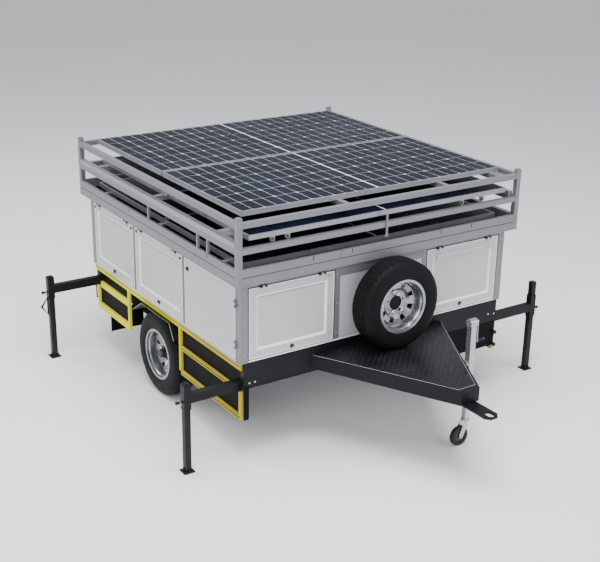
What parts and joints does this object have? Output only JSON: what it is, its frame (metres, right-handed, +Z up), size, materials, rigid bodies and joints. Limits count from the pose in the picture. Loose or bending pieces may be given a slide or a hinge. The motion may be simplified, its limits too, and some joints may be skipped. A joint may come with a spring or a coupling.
{
  "type": "solar power trailer",
  "caption": "Towable solar power unit: white cabinet on a black chassis, fixed roof array, slide-out array trays, outrigger legs, A-frame drawbar, jockey wheel.",
  "frame": {"origin": "on the ground, under the middle of the trailer's whole length and width", "axes": "-Y towards the tow eye, +X away from the side with the plain front door, +Z up"},
  "size_m": [3.4148, 3.763, 1.816],
  "materials": {
    "black_steel": "satin powder coat",
    "backing_sheet": "matt black",
    "yellow_frame": "gloss yellow",
    "red_lens": "clear lens",
    "checker_plate": "dark checker plate",
    "hub_metal": "dark paint",
    "rim_silver": "silver paint",
    "tyre_rubber": "rubber",
    "frame_grey": "satin",
    "white_panel": "gloss white",
    "hinge_black": "satin black",
    "latch_black": "matt",
    "battery_case": "matt",
    "inverter_case": "light grey",
    "roof_aluminium": "satin",
    "module_frame": "anodised",
    "solar_glass": "glazed dark cells",
    "zinc_steel": "zinc plate",
    "caster_rubber": "rubber"
  },
  "bodies": {
    "trailer": {"chassis_frame": "black_steel", "side_sheets": "backing_sheet", "side_frames": "yellow_frame", "mudguards": "black_steel", "tail_lights": "red_lens", "drawbar_frame": "black_steel", "drawbar_deck": "checker_plate", "tow_eye": "black_steel", "suspension": "black_steel", "spare_carrier": "black_steel", "spare_rim": "rim_silver", "spare_tyre": "tyre_rubber", "body_frame": "frame_grey", "body_shell": "white_panel", "door_hinges": "hinge_black", "battery_bank": "battery_case", "inverter": "inverter_case", "roof_skirt": "roof_aluminium", "roof_frame": "roof_aluminium", "top_frames": "module_frame", "top_glass": "solar_glass", "jack_tube": "zinc_steel"},
    "wheel_left": {"hub_left": "hub_metal", "rim_left": "rim_silver", "tyre_left": "tyre_rubber"},
    "wheel_right": {"hub_right": "hub_metal", "rim_right": "rim_silver", "tyre_right": "tyre_rubber"},
    "tray_left": {"tray_left_frame": "module_frame", "tray_left_glass": "solar_glass"},
    "tray_right": {"tray_right_frame": "module_frame", "tray_right_glass": "solar_glass"},
    "door_left_rear": {"door_left_rear": "white_panel"},
    "door_left_mid": {"door_left_mid": "white_panel"},
    "door_left_front": {"door_left_front": "white_panel"},
    "door_right_rear": {"door_right_rear": "white_panel"},
    "door_right_mid": {"door_right_mid": "white_panel"},
    "flap_front_left": {"flap_front_left": "white_panel"},
    "flap_front_right": {"flap_front_right": "white_panel"},
    "rear_door": {"rear_door": "white_panel"},
    "latch_left_rear": {"latch_left_rear": "latch_black"},
    "latch_left_mid": {"latch_left_mid": "latch_black"},
    "latch_left_front": {"latch_left_front": "latch_black"},
    "latch_right_rear": {"latch_right_rear": "latch_black"},
    "latch_right_mid": {"latch_right_mid": "latch_black"},
    "latch_front_left": {"latch_front_left": "latch_black"},
    "latch_front_right": {"latch_front_right": "latch_black"},
    "latch_rear": {"latch_rear": "latch_black"},
    "beam_front_left": {"beam_front_left": "black_steel"},
    "leg_front_left": {"leg_front_left": "black_steel"},
    "beam_front_right": {"beam_front_right": "black_steel"},
    "leg_front_right": {"leg_front_right": "black_steel"},
    "beam_rear_left": {"beam_rear_left": "black_steel"},
    "leg_rear_left": {"leg_rear_left": "black_steel"},
    "beam_rear_right": {"beam_rear_right": "black_steel"},
    "leg_rear_right": {"leg_rear_right": "black_steel"},
    "jack_inner": {"jack_inner": "zinc_steel"},
    "jack_crank": {"jack_crank": "zinc_steel"},
    "caster_fork": {"caster_fork": "zinc_steel"},
    "caster_wheel": {"caster_wheel": "caster_rubber"}
  },
  "joints": [
    {"name": "wheel_left_spin", "type": "hinge", "parent": "trailer", "child": "wheel_left", "pos_m": [-1.1, 0.6535, 0.335], "axis": [1, 0, 0], "continuous": true},
    {"name": "wheel_right_spin", "type": "hinge", "parent": "trailer", "child": "wheel_right", "pos_m": [1.1, 0.6535, 0.335], "axis": [1, 0, 0], "continuous": true},
    {"name": "tray_left_slide", "type": "slide", "parent": "trailer", "child": "tray_left", "axis": [-1, 0, 0], "range_m": [0, 2.15]},
    {"name": "tray_right_slide", "type": "slide", "parent": "trailer", "child": "tray_right", "axis": [1, 0, 0], "range_m": [0, 2.15]},
    {"name": "door_left_rear_lift", "type": "hinge", "parent": "trailer", "child": "door_left_rear", "pos_m": [-1.199, 1.3835, 1.289], "axis": [0, 1, 0], "range_deg": [0, 85]},
    {"name": "door_right_rear_lift", "type": "hinge", "parent": "trailer", "child": "door_right_rear", "pos_m": [1.199, 1.3835, 1.289], "axis": [0, -1, 0], "range_deg": [0, 85]},
    {"name": "door_left_mid_lift", "type": "hinge", "parent": "trailer", "child": "door_left_mid", "pos_m": [-1.199, 0.5985, 1.289], "axis": [0, 1, 0], "range_deg": [0, 85]},
    {"name": "door_right_mid_lift", "type": "hinge", "parent": "trailer", "child": "door_right_mid", "pos_m": [1.199, 0.5985, 1.289], "axis": [0, -1, 0], "range_deg": [0, 85]},
    {"name": "door_left_front_swing", "type": "hinge", "parent": "trailer", "child": "door_left_front", "pos_m": [-1.199, -0.5525, 1.026], "axis": [0, 0, 1], "range_deg": [0, 110]},
    {"name": "flap_front_left_lift", "type": "hinge", "parent": "trailer", "child": "flap_front_left", "pos_m": [-0.773, -0.6255, 1.289], "axis": [-1, 0, 0], "range_deg": [0, 85]},
    {"name": "flap_front_right_lift", "type": "hinge", "parent": "trailer", "child": "flap_front_right", "pos_m": [0.773, -0.6255, 1.289], "axis": [-1, 0, 0], "range_deg": [0, 85]},
    {"name": "rear_door_lift", "type": "hinge", "parent": "trailer", "child": "rear_door", "pos_m": [0, 1.8225, 1.289], "axis": [1, 0, 0], "range_deg": [0, 85]},
    {"name": "latch_left_rear_turn", "type": "hinge", "parent": "door_left_rear", "child": "latch_left_rear", "pos_m": [-1.19, 1.3835, 0.793], "axis": [-1, 0, 0], "range_deg": [0, 90]},
    {"name": "latch_left_mid_turn", "type": "hinge", "parent": "door_left_mid", "child": "latch_left_mid", "pos_m": [-1.19, 0.5985, 0.793], "axis": [-1, 0, 0], "range_deg": [0, 90]},
    {"name": "latch_left_front_turn", "type": "hinge", "parent": "door_left_front", "child": "latch_left_front", "pos_m": [-1.19, 0.1275, 1.212], "axis": [-1, 0, 0], "range_deg": [0, 90]},
    {"name": "latch_right_rear_turn", "type": "hinge", "parent": "door_right_rear", "child": "latch_right_rear", "pos_m": [1.19, 1.3835, 0.793], "axis": [1, 0, 0], "range_deg": [0, 90]},
    {"name": "latch_right_mid_turn", "type": "hinge", "parent": "door_right_mid", "child": "latch_right_mid", "pos_m": [1.19, 0.5985, 0.793], "axis": [1, 0, 0], "range_deg": [0, 90]},
    {"name": "latch_front_left_turn", "type": "hinge", "parent": "flap_front_left", "child": "latch_front_left", "pos_m": [-0.773, -0.6165, 0.793], "axis": [0, -1, 0], "range_deg": [0, 90]},
    {"name": "latch_front_right_turn", "type": "hinge", "parent": "flap_front_right", "child": "latch_front_right", "pos_m": [0.773, -0.6165, 0.793], "axis": [0, -1, 0], "range_deg": [0, 90]},
    {"name": "latch_rear_turn", "type": "hinge", "parent": "rear_door", "child": "latch_rear", "pos_m": [0, 1.8135, 0.793], "axis": [0, 1, 0], "range_deg": [0, 90]},
    {"name": "beam_front_left_slide", "type": "slide", "parent": "trailer", "child": "beam_front_left", "axis": [-1, 0, 0], "range_m": [-0.36, 0.1]},
    {"name": "leg_front_left_slide", "type": "slide", "parent": "beam_front_left", "child": "leg_front_left", "axis": [0, 0, 1], "range_m": [0, 0.25]},
    {"name": "beam_front_right_slide", "type": "slide", "parent": "trailer", "child": "beam_front_right", "axis": [1, 0, 0], "range_m": [-0.36, 0.1]},
    {"name": "leg_front_right_slide", "type": "slide", "parent": "beam_front_right", "child": "leg_front_right", "axis": [0, 0, 1], "range_m": [0, 0.25]},
    {"name": "beam_rear_left_slide", "type": "slide", "parent": "trailer", "child": "beam_rear_left", "axis": [-1, 0, 0], "range_m": [-0.36, 0.1]},
    {"name": "leg_rear_left_slide", "type": "slide", "parent": "beam_rear_left", "child": "leg_rear_left", "axis": [0, 0, 1], "range_m": [0, 0.25]},
    {"name": "beam_rear_right_slide", "type": "slide", "parent": "trailer", "child": "beam_rear_right", "axis": [1, 0, 0], "range_m": [-0.36, 0.1]},
    {"name": "leg_rear_right_slide", "type": "slide", "parent": "beam_rear_right", "child": "leg_rear_right", "axis": [0, 0, 1], "range_m": [0, 0.25]},
    {"name": "jack_crank_turn", "type": "hinge", "parent": "trailer", "child": "jack_crank", "pos_m": [0.32827, -1.2515, 0.956], "axis": [1, 0, 0], "range_deg": [0, 10800]},
    {"name": "jack_slide", "type": "slide", "parent": "trailer", "child": "jack_inner", "axis": [0, 0, -1], "range_m": [0, 0.2401]},
    {"name": "caster_swivel", "type": "hinge", "parent": "jack_inner", "child": "caster_fork", "pos_m": [0.32827, -1.2515, 0.2], "axis": [0, 0, 1], "continuous": true},
    {"name": "caster_spin", "type": "hinge", "parent": "caster_fork", "child": "caster_wheel", "pos_m": [0.27627, -1.2515, 0.075], "axis": [0, 1, 0], "continuous": true}
  ],
  "couplings": [
    {"joint": "jack_slide", "follows": "jack_crank_turn", "m_per_rad": 0.0012732}
  ]
}
